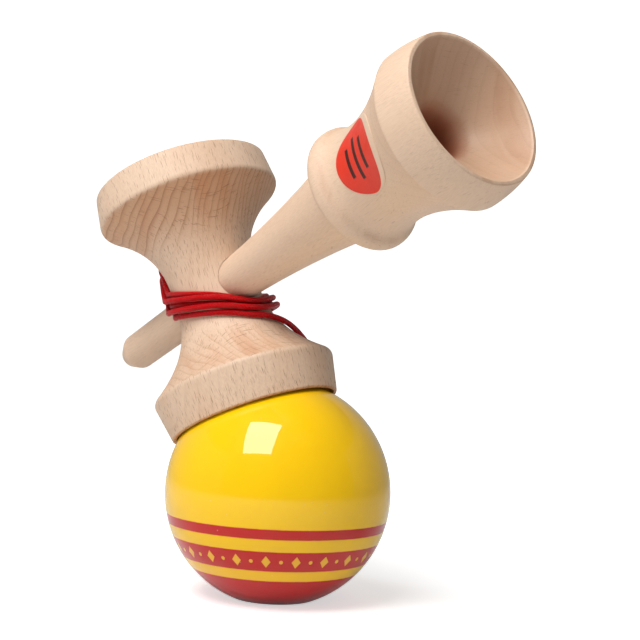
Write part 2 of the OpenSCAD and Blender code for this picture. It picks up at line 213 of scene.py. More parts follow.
# The tail's way as turn, radius and height: down behind the small cup, under its lip and over the ball
tailOutside = [
    (0, 15.8, -13.5), (14, 16.5, -14.7), (28, 17.5, -16.2), (41, 19.2, -18.3),
    (53, 21.7, -21), (63, 24.8, -23.8), (70, 26.6, -26.2),
    (75, 25.8, -29.8), (78, 25, -33.2), (80, 24.4, -36),
]
tailUnderLip = [(80, 23.6, -1.1), (80, 21.9, -0.35)]
tailInside = [
    (76, 20, 2.4), (66, 18.6, 4.1), (50, 16.8, 5.9), (32, 15.2, 7.3),
    (18, 14.4, 8.3), (11, 14.1, 8.9), (5, 13.8, 9.2), (0, 13.5, 8.7),
]
bead = {
    "d": 8.6, "hole": 2, "gap": 0.3, "bevel": 0.25, "bevelIn": 0.3,
    "roomEnd": 41, "roomR": 5.2, "drill": 59,
    "stringAt": (1, -1.6, -6, -11), "stringEnd": 0.1,  # the string's points from the ball's top down
}
beadZ = bead["roomEnd"] + bead["roomR"] / tan(radians(bead["drill"]))
beadZ -= (bead["d"] / 2 + bead["gap"]) / sin(radians(bead["drill"]))
leadS = windingHeight(stringTurn + cord["holeAhead"])  # height of the string's hole


def stringRoute():
    c = cord
    start = cross["waistR"] - c["leadIn"]
    holeShade = (c["pocketEnd"] + c["gap"], cross["waistR"] - c["leadFrom"], start)
    way = [roundAxis(stringTurn, r, leadS) for r in holeShade]
    for b in range(1, c["leadSteps"] + 1):
        turn = radians(c["leadStep"] * b)
        aside = c["leadBend"] * (1 - cos(turn)) * roundAxis(stringTurn + 90, 1, 0)
        way.append(roundAxis(stringTurn, start + c["leadBend"] * sin(turn), leadS) + aside)
    last = stringTurn + 360 * c["turns"]
    rings = range(c["leadRings"], int(360 / c["passStep"] * c["turns"]) + 1)
    way += [windingAt(stringTurn + c["passStep"] * i) for i in rings]
    out = windingAt(last)
    ahead = (out - windingAt(last - c["lastAim"])).normalized()
    way += [out, out + c["thick"] * ahead, out + 2 * c["thick"] * ahead]
    way += [roundAxis(*p) for p in tailOutside]
    flat = [1.0] * len(way)
    way += [roundAxis(t, r, s - toy["smallEnd"]) for t, r, s in tailUnderLip + tailInside]
    flat += [c["pressed"]] * 2 + [1.0] * len(tailInside)
    first = len(flat) - len(tailInside) - 2
    flat[first - 1] = flat[first + 2] = c["pressedNear"]
    way = [crossFrame @ p for p in way]
    beadR = bead["d"] / 2
    inBead = [beadZ + beadR, beadZ, beadZ - beadR + bead["stringEnd"]]
    for z in [ballTop + h for h in bead["stringAt"]] + inBead:
        way.append(Vector((0, 0, z)))
        flat.append(1.0)
    return way, flat


# A smooth line through the points, cut into even steps, with the flatness carried along
def smoothLine(points, extra, step):
    fine = []
    n = len(points)
    for i in range(n - 1):
        a, b = points[max(i - 1, 0)], points[i]
        c, d = points[i + 1], points[min(i + 2, n - 1)]
        length = (c - b).length
        before, after = max((b - a).length, 1e-6), max((d - c).length, 1e-6)
        m1 = ((b - a) / before + (c - b) / length) * 0.5 * length if i else c - b
        m2 = ((c - b) / length + (d - c) / after) * 0.5 * length if i < n - 2 else c - b
        parts = max(2, int(length / step * 3))
        for j in range(parts):
            t = j / parts
            p = (2 * t ** 3 - 3 * t ** 2 + 1) * b + (t ** 3 - 2 * t ** 2 + t) * m1
            p += (3 * t ** 2 - 2 * t ** 3) * c + (t ** 3 - t ** 2) * m2
            fine.append((p, extra[i] + (extra[i + 1] - extra[i]) * t * t * (3 - 2 * t)))
    fine.append((points[-1], extra[-1]))
    total = sum((fine[i + 1][0] - fine[i][0]).length for i in range(len(fine) - 1))
    count = max(4, round(total / step))
    line, walked, k = [fine[0]], 0.0, 0
    for i in range(1, count):
        want = total * i / count
        while walked + (fine[k + 1][0] - fine[k][0]).length < want:
            walked += (fine[k + 1][0] - fine[k][0]).length
            k += 1
        t = (want - walked) / (fine[k + 1][0] - fine[k][0]).length
        line.append((fine[k][0].lerp(fine[k + 1][0], t), fine[k][1] + (fine[k + 1][1] - fine[k][1]) * t))
    line.append(fine[-1])
    return [p for p, f in line], [f for p, f in line], total


# Braided tube along a line in mm: strands run both ways round and pass over and under each other
def braidedTube(name, line, radius, sides, plait, plaits, relief, flat=None, closed=False):
    form = bmesh.new()
    uvLayer = form.loops.layers.uv.new("along")
    n = len(line)
    side = Vector((0.3, 0.5, 0.8))
    rings, walked = [], []
    far = 0.0
    for i, p in enumerate(line):
        ahead = line[(i + 1) % n] if closed else line[min(i + 1, n - 1)]
        behind = line[i - 1] if closed or i else line[0]
        way = (ahead - behind).normalized()
        side = (side - side.dot(way) * way).normalized()
        other = way.cross(side)
        if i:
            far += (p - line[i - 1]).length
        walked.append(far)
        out = (p - Vector((0, 0, ballZ))).normalized()
        press = flat[i] if flat else 1.0
        ring = []
        for j in range(sides):
            a = 2 * pi * j / sides
            right = plaits * a + 2 * pi * far / plait
            left = plaits * a - 2 * pi * far / plait
            weave = max(cos(right) * (0.6 + 0.4 * cos(left)), cos(left) * (0.6 - 0.4 * cos(right)))
            r = radius * (1 + relief * weave)
            o = r * (cos(a) * side + sin(a) * other)
            o -= (1 - press) * o.dot(out) * out
            ring.append(form.verts.new((p + o) * mm))
        rings.append(ring)
    for i in range(n if closed else n - 1):
        for j in range(sides):
            k, m = (i + 1) % n, (j + 1) % sides
            face = form.faces.new((rings[i][j], rings[i][m], rings[k][m], rings[k][j]))
            face.smooth = True
            here, there = walked[i], walked[k] if k else far + plait / 8
            for loop, u, v in zip(face.loops, (here, here, there, there), (j, j + 1, j + 1, j)):
                loop[uvLayer].uv = (u / plait, v / sides)
    if not closed:
        form.faces.new(rings[0][::-1])
        form.faces.new(rings[-1])
    return link(bpy.data.objects.new(name, toMesh(form, name)))


routePoints, routeFlat = stringRoute()
stringLine, stringFlat, stringLength = smoothLine(routePoints, routeFlat, cord["ringStep"])
string = braidedTube("string", stringLine, cord["full"] / 2, cord["sides"], cord["plait"], cord["plaits"],
                     cord["relief"], flat=stringFlat)
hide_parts("string_winding", "string_tail")
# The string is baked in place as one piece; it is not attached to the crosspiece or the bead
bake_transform(string)
print("string laid, %.0f mm long" % stringLength)

# Knots at the string's ends
knotSet = {
    "wide": 3.8, "cord": 0.18, "lift": 1.6, "gap": 0.1, "points": 160,
    "sides": 10, "plait": 1.15, "plaits": 3, "relief": 0.06,
}
knotScale = knotSet["wide"] * (1 - knotSet["cord"]) / 6
knotHalf = knotSet["lift"] * knotScale + knotSet["wide"] * knotSet["cord"] / 2


def makeKnot(name, place):
    k = knotSet
    line = []
    for i in range(k["points"]):
        a = 2 * pi * i / k["points"]
        p = Vector((sin(a) + 2 * sin(2 * a), cos(a) - 2 * cos(2 * a), -k["lift"] * sin(3 * a)))
        line.append(place @ (p * knotScale))
    return braidedTube(name, line, k["wide"] * k["cord"] / 2, k["sides"], k["plait"], k["plaits"],
                       k["relief"], closed=True)


anchorAt = roundAxis(stringTurn, cord["pocketEnd"] - knotSet["gap"] - knotHalf, leadS)
anchorPlace = crossFrame @ Matrix.Translation(anchorAt) @ Matrix.Rotation(radians(stringTurn), 4, "Z")
anchorKnot = makeKnot("anchorKnot", anchorPlace @ sideways)
beadKnot = makeKnot("beadKnot", Matrix.Translation((0, 0, beadZ - bead["d"] / 2 - knotHalf)))
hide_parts("anchor_knot")
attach(anchorKnot, "crosspiece")
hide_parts("bead_knot")
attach(beadKnot, "bead")
print("knots tied")


# Turned pieces: a half outline of radius and height swept round its axis
def turned(name, outline, place, sides=144, loop=False):
    form = bmesh.new()
    turns = [2 * pi * j / sides for j in range(sides)]
    rings = []
    for r, z in outline:
        if r < 1e-6:
            rings.append([form.verts.new((0, 0, z * mm))])
            continue
        rings.append([form.verts.new((r * cos(a) * mm, r * sin(a) * mm, z * mm)) for a in turns])
    for i in range(len(rings) if loop else len(rings) - 1):
        a, b = rings[i], rings[(i + 1) % len(rings)]
        for j in range(sides):
            m = (j + 1) % sides
            corners = [a[j % len(a)], a[m % len(a)], b[m % len(b)], b[j % len(b)]]
            form.faces.new(list(dict.fromkeys(corners)))
    mesh = toMesh(form, name)
    smoothFaces(mesh)
    obj = link(bpy.data.objects.new(name, mesh))
    obj.matrix_world = inMetres(place)
    return obj


# Takes a tool's shape out of a piece
def cutOut(obj, tool):
    cut = obj.modifiers.new("cut", "BOOLEAN")
    cut.operation = "DIFFERENCE"
    cut.solver = "EXACT"
    cut.object = tool
    mesh = bpy.data.meshes.new_from_object(obj.evaluated_get(bpy.context.evaluated_depsgraph_get()))
    obj.modifiers.clear()
    obj.data = mesh
    bpy.data.objects.remove(tool)
    smoothFaces(mesh)


# Corner c between p and q, rounded over the length d
def roundedCorner(p, c, q, d, parts=6):
    p, c, q = Vector(p), Vector(c), Vector(q)
    a, b = c + d * (p - c).normalized(), c + d * (q - c).normalized()
    ts = [i / parts for i in range(parts + 1)]
    return [tuple((1 - t) ** 2 * a + 2 * t * (1 - t) * c + t ** 2 * b) for t in ts]


def bowlOutline(r, depth, roundness, parts=40):
    line = []
    for i in range(parts + 1):
        a = pi / 2 * i / parts
        wide = r * cos(a) ** (2 / roundness) if i < parts else 0.0
        line.append((wide, depth * sin(a) ** (2 / roundness)))
    return line


def steps(a, b, n):
    return [a + (b - a) * i / n for i in range(n + 1)]


# Crosspiece
def crossOutline(c):
    low, high = -toy["smallEnd"], c["bigEnd"]
    lowShoulder, highShoulder = low + c["smallBand"], high - c["bigBand"]
    smallIn, bigIn = c["smallRimR"] - c["lip"], c["bigRimR"] - c["lip"]
    smallBowl = [(r, low + d) for r, d in bowlOutline(smallIn, c["cupDepth"], c["bowlRound"])]
    bigBowl = [(r, high - d) for r, d in bowlOutline(bigIn, c["cupDepth"], c["bowlRound"])]
    flare = steps(lowShoulder + c["flareIn"], highShoulder - c["flareIn"], c["flareSteps"])
    flare = [(waistAt(s), s) for s in flare]
    smallRim, smallShoulder = (c["smallRimR"], low), (c["smallShoulderR"], lowShoulder)
    bigRim, bigShoulder = (c["bigRimR"], high), (c["bigShoulderR"], highShoulder)
    line = smallBowl[::-1]
    line += roundedCorner((smallIn, low), smallRim, smallShoulder, c["rimRound"])
    line += roundedCorner(smallRim, smallShoulder, flare[0], c["shoulderRound"])
    line += flare
    line += roundedCorner(flare[-1], bigShoulder, bigRim, c["shoulderRound"])
    line += roundedCorner(bigShoulder, bigRim, (bigIn, high), c["rimRound"])
    return line + bigBowl


# Handle: spike, shaft, collar, neck and base cup
stick = {
    "spike": 47.5, "tipR": 3.2, "tipRound": 0.5, "tipBevel": 4.6, "spikeR": 5.4, "shaftIn": 1,
    "collarAt": 63, "rootR": 11.7, "swell": 3, "collarR": 16.3, "collarEdge": 3.2, "collarRound": 1.5,
    "collarFall": 8, "collarCurve": 3.6, "neckR": 13.9, "neckIn": 1.6, "bellRise": 20, "bellCurve": 1.75,
    "bellR": 20.7, "bellLength": 9.8, "bellIn": 0.05, "rimR": 19.3, "rimRound": 0.3, "lip": 0.9,
    "funnel": 16, "ease": 0.55, "turnIn": 0.45, "holeR": 6, "holeDepth": 8.5, "edge": 0.6,
    "shaftSteps": 60, "neckSteps": 70, "bellSteps": 20, "funnelSteps": 48,
}
collarTop = stick["collarAt"] + stick["collarEdge"]
neckAt = collarTop + stick["collarFall"]
bellAt = neckAt + stick["bellRise"]
rimAt = bellAt + stick["bellLength"]
taperStart = -stick["spike"] + stick["tipBevel"]


def shaftAt(u):
    part = max(0.0, (u - taperStart) / (stick["collarAt"] - taperStart))
    return stick["spikeR"] + (stick["rootR"] - stick["spikeR"]) * part ** stick["swell"]


def neckAtHeight(u):
    h = stick
    if u < neckAt:
        part = (neckAt - u) / h["collarFall"]
        return h["neckR"] + (h["collarR"] - h["neckR"]) * part ** h["collarCurve"]
    part = (u - neckAt) / h["bellRise"]
    return h["neckR"] + (h["bellR"] - h["neckR"]) * part ** h["bellCurve"]


def handleOutline(h):
    tip, bevel = (h["tipR"], -h["spike"]), (h["spikeR"], taperStart)
    shaft = [(shaftAt(u), u) for u in steps(taperStart + h["shaftIn"], h["collarAt"], h["shaftSteps"])]
    low, high = (h["collarR"], h["collarAt"]), (h["collarR"], collarTop)
    neck = [(neckAtHeight(u), u) for u in steps(collarTop + h["neckIn"], bellAt, h["neckSteps"])]
    drawIn = h["bellR"] - h["rimR"]
    bell = steps(h["bellIn"], 1, h["bellSteps"])
    bell = [(h["bellR"] - drawIn * t * t, bellAt + h["bellLength"] * t) for t in bell]
    mouth = h["rimR"] - h["lip"]
    line = [(0, -h["spike"])] + roundedCorner((0, -h["spike"]), tip, bevel, h["tipRound"])
    line += roundedCorner(tip, bevel, shaft[0], h["edge"]) + shaft
    line += roundedCorner(shaft[-1], low, high, h["collarRound"])
    line += roundedCorner(low, high, neck[0], h["collarRound"])
    line += neck + bell[:-1]
    line += roundedCorner(bell[-2], bell[-1], (mouth, rimAt), h["rimRound"], parts=4)
    for t in steps(0, 1, h["funnelSteps"]):
        q = 1 - t
        r = h["holeR"] + (mouth - h["holeR"]) * q * q * (q + 3 * t * h["ease"])
        line.append((r, rimAt - h["funnel"] * t * (3 * q * h["turnIn"] + t * t)))
    holeEnd = rimAt - h["funnel"] - h["holeDepth"]
    return line + [(h["holeR"], holeEnd), (0, holeEnd - h["holeR"] / tan(radians(bead["drill"])))]


# The handle's bore, and the string's hole with a pocket for its knot
holes = {
    "borePlay": 0.14, "boreReach": cross["smallShoulderR"],
    "pocketR": 2.2, "stringR": 0.95, "stringReach": 17,
}


def boreOutline(h):
    reach = h["boreReach"]
    wall = [(shaftAt(u) + h["borePlay"], u) for u in steps(-reach, reach, 40)]
    return [(0, -reach)] + wall + [(0, reach)]


def stringHoleOutline(h):
    pocket, wide, narrow, reach = cord["pocketEnd"], h["pocketR"], h["stringR"], h["stringReach"]
    return [(0, 0), (wide, 0), (wide, pocket), (narrow, pocket), (narrow, reach), (0, reach)]


crosspiece = turned("crosspieceWood", crossOutline(cross), crossFrame)
cutOut(crosspiece, turned("bore", boreOutline(holes), handleFrame, sides=120))
holePlace = crossFrame @ Matrix.Translation((0, 0, leadS)) @ Matrix.Rotation(radians(stringTurn), 4, "Z")
cutOut(crosspiece, turned("stringHole", stringHoleOutline(holes), holePlace @ sideways, sides=40))
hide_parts("crosspiece")
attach(crosspiece, "crosspiece")

handle = turned("handleWood", handleOutline(stick), handleFrame)
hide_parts("handle")
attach(handle, "handle")
print("wood turned")

# Ball with its hole for the spike, a narrower room for the bead and a hole for the string
ball = {
    "holeR": 10.2, "holeWall": 30, "bevel": 0.5, "edge": 0.35, "topHoleR": 1.6, "topBevel": 0.6,
    "footRise": 0.12, "footOut": (0.3, 0.15), "footRound": 0.2,  # rounded rim that it stands on
    "rows": 110, "sides": 192,
}


def ballOutline(b):
    r = toy["ballR"]
    wall, foot = (b["holeR"], b["bevel"]), (b["holeR"] + b["edge"], b["footRise"])
    outside = (toy["standR"] + b["footOut"][0], b["footOut"][1])
    line = [wall] + roundedCorner(wall, foot, outside, b["footRound"], parts=3)
    footR, topR = toy["standR"] + b["edge"], b["topHoleR"] + b["topBevel"]
    low, high = -sqrt(r * r - footR ** 2), sqrt(r * r - topR ** 2)
    for a in steps(atan2(low, footR), atan2(high, topR), b["rows"]):
        line.append((r * cos(a), ballZ + r * sin(a)))
    drill = tan(radians(bead["drill"]))
    return line + [
        (b["topHoleR"], ballZ + high - b["topBevel"]),
        (b["topHoleR"], bead["roomEnd"] + (bead["roomR"] - b["topHoleR"]) / drill),
        (bead["roomR"], bead["roomEnd"]),
        (bead["roomR"], b["holeWall"] + (b["holeR"] - bead["roomR"]) / drill),
        (b["holeR"], b["holeWall"]),
    ]


ballPiece = turned("ballPaint", ballOutline(ball), ballFrame, sides=ball["sides"], loop=True)
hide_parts("ball")
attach(ballPiece, "ball")


def beadOutline(b):
    r, hole = b["d"] / 2, b["hole"] / 2
    top = sqrt(r * r - (hole + b["bevel"]) ** 2)
    a = pi / 2 - (hole + b["bevel"]) / r
    line = [(hole, -top + b["bevelIn"])] + [(r * cos(t), r * sin(t)) for t in steps(-a, a, 36)]
    return line + [(hole, top - b["bevelIn"])]


beadPiece = turned("beadWood", beadOutline(bead), Matrix.Translation((0, 0, beadZ)), sides=64, loop=True)
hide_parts("string_bead")
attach(beadPiece, "bead")
print("ball and bead turned")

# Sticker: an oval film that follows the neck
label = {
    "round": 19, "along": 17, "thick": 0.2, "glue": 0.05, "at": 13.8, "turn": 268,
    "edgeFrom": 0.96, "edgeFall": 0.09, "sideOut": 1.004, "sideFall": 0.12,  # rounded edge and cut side
    "rings": 26, "ringCrowd": 0.8, "spokes": 96,
}


def makeSticker(s):
    middle = collarTop + s["at"]
    form = bmesh.new()
    uvLayer = form.loops.layers.uv.new("flat")

    def onNeck(x, y, lift):
        u = middle - x
        r = neckAtHeight(u) + lift
        a = radians(s["turn"]) + y / neckAtHeight(middle)
        return Vector((r * cos(a), r * sin(a), u)) * mm

    top = s["glue"] + s["thick"]
    shares = [0] + [(i / s["rings"]) ** s["ringCrowd"] for i in range(1, s["rings"] + 1)]
    lifts = [top - s["edgeFall"] * max(0, a - s["edgeFrom"]) / (1 - s["edgeFrom"]) for a in shares]
    shares += [s["sideOut"]] * 2
    lifts += [top - s["sideFall"], s["glue"] / 2]
    rows = []
    for share, lift in zip(shares, lifts):
        spots = []
        for j in range(s["spokes"]):
            a = 2 * pi * j / s["spokes"]
            x, y = s["along"] / 2 * cos(a) * share, s["round"] / 2 * sin(a) * share
            spots.append((form.verts.new(onNeck(x, y, lift)), (x / s["along"] + 0.5, y / s["round"] + 0.5)))
            if share == 0:
                break
        rows.append(spots)
    for a, b in zip(rows, rows[1:]):
        for j in range(s["spokes"]):
            m = (j + 1) % s["spokes"]
            corners = list(dict.fromkeys([a[j % len(a)], a[m % len(a)], b[m], b[j]]))
            face = form.faces.new([v for v, uv in corners])
            face.smooth = True
            for loop, (v, uv) in zip(face.loops, corners):
                loop[uvLayer].uv = uv
    obj = link(bpy.data.objects.new("stickerFilm", toMesh(form, "sticker")))
    obj.matrix_world = inMetres(handleFrame)
    return obj


sticker = makeSticker(label)
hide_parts("sticker")
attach(sticker, "handle")
print("sticker laid on")


# Finishes
def shade(r, g, b):
    def line(v):
        v /= 255
        return v / 12.92 if v <= 0.04045 else ((v + 0.055) / 1.055) ** 2.4
    return (line(r), line(g), line(b), 1.0)


def newFinish(name):
    mat = bpy.data.materials.new(name)
    mat.use_nodes = True
    tree = mat.node_tree
    tree.nodes.clear()
    out = tree.nodes.new("ShaderNodeOutputMaterial")
    body = tree.nodes.new("ShaderNodeBsdfPrincipled")
    tree.links.new(body.outputs["BSDF"], out.inputs["Surface"])
    return mat, tree, body


def put(tree, socket, value):
    if isinstance(value, bpy.types.NodeSocket):
        tree.links.new(value, socket)
    else:
        socket.default_value = value


def calc(tree, how, *values):
    node = tree.nodes.new("ShaderNodeMath")
    node.operation = how
    for i, v in enumerate(values):
        put(tree, node.inputs[i], v)
    return node.outputs[0]


def mixed(tree, share, a, b, how="MIX"):
    node = tree.nodes.new("ShaderNodeMix")
    node.data_type = "RGBA"
    node.blend_type = how
    put(tree, node.inputs["Factor"], share)
    put(tree, node.inputs[6], a)
    put(tree, node.inputs[7], b)
    return node.outputs[2]


def ramp(tree, value, low, high, fromLow=0.0, fromHigh=1.0):
    node = tree.nodes.new("ShaderNodeMapRange")
    node.interpolation_type = "SMOOTHSTEP"
    put(tree, node.inputs["Value"], value)
    for key, v in (("From Min", low), ("From Max", high), ("To Min", fromLow), ("To Max", fromHigh)):
        node.inputs[key].default_value = v
    return node.outputs["Result"]


def scaled(tree, vector, scale, turn=(0, 0, 0), move=(0, 0, 0)):
    node = tree.nodes.new("ShaderNodeMapping")
    put(tree, node.inputs["Vector"], vector)
    node.inputs["Scale"].default_value = scale
    node.inputs["Rotation"].default_value = turn
    node.inputs["Location"].default_value = move
    return node.outputs["Vector"]


def noise(tree, vector, scale=1.0, detail=2.0, rough=0.5):
    node = tree.nodes.new("ShaderNodeTexNoise")
    put(tree, node.inputs["Vector"], vector)
    node.inputs["Scale"].default_value = scale
    node.inputs["Detail"].default_value = detail
    node.inputs["Roughness"].default_value = rough
    return node.outputs["Fac"]


def cells(tree, vector):
    node = tree.nodes.new("ShaderNodeTexVoronoi")
    put(tree, node.inputs["Vector"], vector)
    node.inputs["Scale"].default_value = 1.0
    return node.outputs["Distance"]


def split(tree, vector):
    node = tree.nodes.new("ShaderNodeSeparateXYZ")
    put(tree, node.inputs[0], vector)
    return node.outputs


def lengthOf(tree, x, y):
    return calc(tree, "SQRT", calc(tree, "ADD", calc(tree, "MULTIPLY", x, x), calc(tree, "MULTIPLY", y, y)))


def laidOut(tree, name):
    node = tree.nodes.new("ShaderNodeUVMap")
    node.uv_map = name
    return split(tree, node.outputs[0])[:2]


def bumped(tree, height, strength, distance):
    node = tree.nodes.new("ShaderNodeBump")
    node.inputs["Strength"].default_value = strength
    node.inputs["Distance"].default_value = distance
    put(tree, node.inputs["Height"], height)
    return node.outputs["Normal"]


# Bare beech, with the grain along the piece's axis: growth rings, rays as short dark dashes, fine fibres
crossGrain = {
    "name": "crosspieceBeech",
    # end: end grain colour, made warmer and darker for the shaded faces turned down, so partly painted shade
    "pale": (230, 202, 176), "late": (160, 106, 70), "ray": (140, 92, 62), "end": (206, 160, 122),
    "warm": (196, 130, 84), "inside": None,
    "ringTurn": -128, "dashTurn": -57,  # side away from the pith, and side where the dashes are thinnest
    # rings are much stronger on faces turned down than on faces turned up, as painted shade
    "ringGap": 1.75, "pith": 62, "slope": 0.05, "ringShareWithShade": 0.95, "ringShareUp": 0.38,
    "rayShare": 0.78, "rayThin": 0.2, "rough": 0.52,
}
handleGrain = {
    "name": "handleBeech",
    "pale": (230, 200, 173), "late": (170, 128, 98), "ray": (150, 102, 72), "end": (222, 188, 158),
    # inside and hole are painted shade colours for the base cup's inside and its deep hole
    "warm": (186, 134, 100), "inside": (200, 158, 128), "hole": (168, 72, 20),
    "ringTurn": -98, "dashTurn": -98,
    "ringGap": 2.6, "pith": 90, "slope": 0.02, "ringShareWithShade": 0.4, "ringShareUp": 0.24,
    "rayShare": 0.3, "rayThin": 0.15, "rough": 0.45,
}
beadGrain = dict(handleGrain, name="beadBeech", ringGap=0.9, pith=20, inside=None)
# How often each mark comes per mm: out from the pith, round it, along the axis
grainSize = {
    "sway": (0.05, 0.05, 0.02), "uneven": (0.16, 0.02, 0.004), "ray": (0.12, 3.0, 0.42),
    "dash": (0.5, 4.6, 0.17), "fibre": (5, 5, 0.22), "stain": (0.09, 0.09, 0.05),
    "streak": (0.2, 0.015, 0.004),
}
swayReach = (5, 5, 8)  # mm
# depths and widths where the painted shade inside the base cup and its hole begins
baseCupShade = {"from": (70, 72), "rim": (18.3, 17.9), "hole": (8.2, 5.8)}  # where its inside colours begin, mm


def beech(g):
    mat, tree, body = newFinish(g["name"])
    spot = tree.nodes.new("ShaderNodeTexCoord")
    turn = (0, 0, -radians(g["ringTurn"]))
    inMm = scaled(tree, spot.outputs["Object"], (1000, 1000, 1000), turn)
    # slow waves in the grain
    sway = tree.nodes.new("ShaderNodeTexNoise")
    put(tree, sway.inputs["Vector"], scaled(tree, inMm, grainSize["sway"]))
    sway.inputs["Scale"].default_value = 1.0
    sway.inputs["Detail"].default_value = 1.0
    bent = tree.nodes.new("ShaderNodeVectorMath")
    bent.operation = "MULTIPLY_ADD"
    put(tree, bent.inputs[0], sway.outputs["Color"])
    bent.inputs[1].default_value = swayReach
    put(tree, bent.inputs[2], inMm)
    grain = bent.outputs[0]
    # growth rings round a far pith
    x, y, z = split(tree, grain)
    x = calc(tree, "ADD", calc(tree, "MULTIPLY_ADD", z, g["slope"], x), g["pith"])
    uneven = noise(tree, scaled(tree, grain, grainSize["uneven"]), 1.0, 2.0)
    year = calc(tree, "MULTIPLY_ADD", uneven, 2.6, calc(tree, "DIVIDE", lengthOf(tree, x, y), g["ringGap"]))
    season = calc(tree, "FRACT", year)
    late = calc(tree, "MULTIPLY", calc(tree, "POWER", season, 5.0), ramp(tree, season, 1.0, 0.95))
    # rays: thin sheets that run out from the pith
    thin = g["rayThin"]
    rays = ramp(tree, cells(tree, scaled(tree, grain, grainSize["ray"])), thin + 0.08, thin - 0.04)
    faced = scaled(tree, grain, (1, 1, 1), (0, 0, radians(g["ringTurn"] - g["dashTurn"])))
    dashes = cells(tree, scaled(tree, faced, grainSize["dash"], move=(7, 3, 5)))
    small = ramp(tree, dashes, thin + 0.05, thin - 0.05)
    # fibres and slow stains
    fibre = noise(tree, scaled(tree, grain, grainSize["fibre"]), 1.0, 3.0, 0.6)
    stain = noise(tree, scaled(tree, inMm, grainSize["stain"]), 1.0, 2.0)
    # end grain is darker than side grain; faces turned down get much more of the darker end colour than
    # faces turned up, as painted shade
    upward = split(tree, spot.outputs["Normal"])[2]
    across = ramp(tree, calc(tree, "ABSOLUTE", upward), 0.25, 0.95)
    paintedShadeBelow = ramp(tree, upward, -0.1, 0.1, 0.9, 0.3)
    colour = mixed(tree, calc(tree, "MULTIPLY", across, paintedShadeBelow), shade(*g["pale"]), shade(*g["end"]))
    if g["inside"]:
        # painted shade: the base cup is darker inside, and its deep hole most of all, where shade falls in
        # the recess
        ownX, ownY, ownZ = split(tree, inMm)
        wide = lengthOf(tree, ownX, ownY)
        deep = ramp(tree, ownZ, *baseCupShade["from"])
        cupShade = calc(tree, "MULTIPLY", ramp(tree, upward, 0.3, 0.55), ramp(tree, wide, *baseCupShade["rim"]))
        holeShade = calc(tree, "MULTIPLY", ramp(tree, wide, *baseCupShade["hole"]), deep)
        cupShade = calc(tree, "MULTIPLY", cupShade, deep)
        colour = mixed(tree, calc(tree, "MULTIPLY", cupShade, 0.75), colour, shade(*g["inside"]))
        colour = mixed(tree, calc(tree, "MULTIPLY", holeShade, 0.9), colour, shade(*g["hole"]))
    # ring lines show more on end grain, and more on faces turned down than up, which is painted shade
    ringShareWithShade = calc(tree, "MULTIPLY", ramp(tree, across, 0.0, 0.6, 0.14, 1.0),
                     ramp(tree, upward, -0.1, 0.1, g["ringShareWithShade"], g["ringShareUp"]))
    streak = noise(tree, scaled(tree, grain, grainSize["streak"], move=(3, 9, 1)), 1.0, 2.0)
    streak = ramp(tree, streak, 0.5, 0.68, 0.0, 0.5)
    colour = mixed(tree, calc(tree, "MULTIPLY", streak, across), colour, shade(*g["warm"]))
    colour = mixed(tree, calc(tree, "MULTIPLY", late, ringShareWithShade), colour, shade(*g["late"]))
    colour = mixed(tree, ramp(tree, fibre, 0.35, 0.75, 0.0, 0.22), colour, shade(*g["late"]))
    colour = mixed(tree, ramp(tree, stain, 0.3, 0.75, 0.0, 0.3), colour, shade(*g["end"]))
    # on side grain the rays show as short dashes, on end grain as long thin lines
    short = calc(tree, "MULTIPLY", small, ramp(tree, across, 0.2, 0.8, g["rayShare"], g["rayShare"] * 0.3))
    colour = mixed(tree, short, colour, shade(*g["ray"]))
    long = calc(tree, "MULTIPLY", rays, ramp(tree, across, 0.05, 0.5, 0.0, g["rayShare"] * 0.7))
    colour = mixed(tree, long, colour, shade(*g["ray"]))
    put(tree, body.inputs["Base Color"], colour)
    put(tree, body.inputs["Roughness"], ramp(tree, fibre, 0.2, 0.8, g["rough"] - 0.06, g["rough"] + 0.12))
    body.inputs["Specular IOR Level"].default_value = 0.35
    relief = calc(tree, "SUBTRACT", calc(tree, "MULTIPLY", fibre, 0.35), calc(tree, "MULTIPLY", small, 0.6))
    put(tree, body.inputs["Normal"], bumped(tree, relief, 0.25, 0.00008))
    return mat


# Gloss lacquer with red stripes, heights from the ball's middle in mm
paint = {
    "yellow": (255, 204, 0), "thickYellow": (246, 186, 0), "red": (200, 12, 6), "thickRed": (178, 8, 5),
    "mark": (246, 186, 40), "dust": (250, 232, 190),
    "stripes": ((-8.72, -6.13), (-17.13, -11.87), (-60, -19.89)), "soft": 0.09,
    "marks": 44, "markRow": -14.5, "markRowR": 26.3, "lozenge": (1.15, 1.55), "dot": 0.48,
}


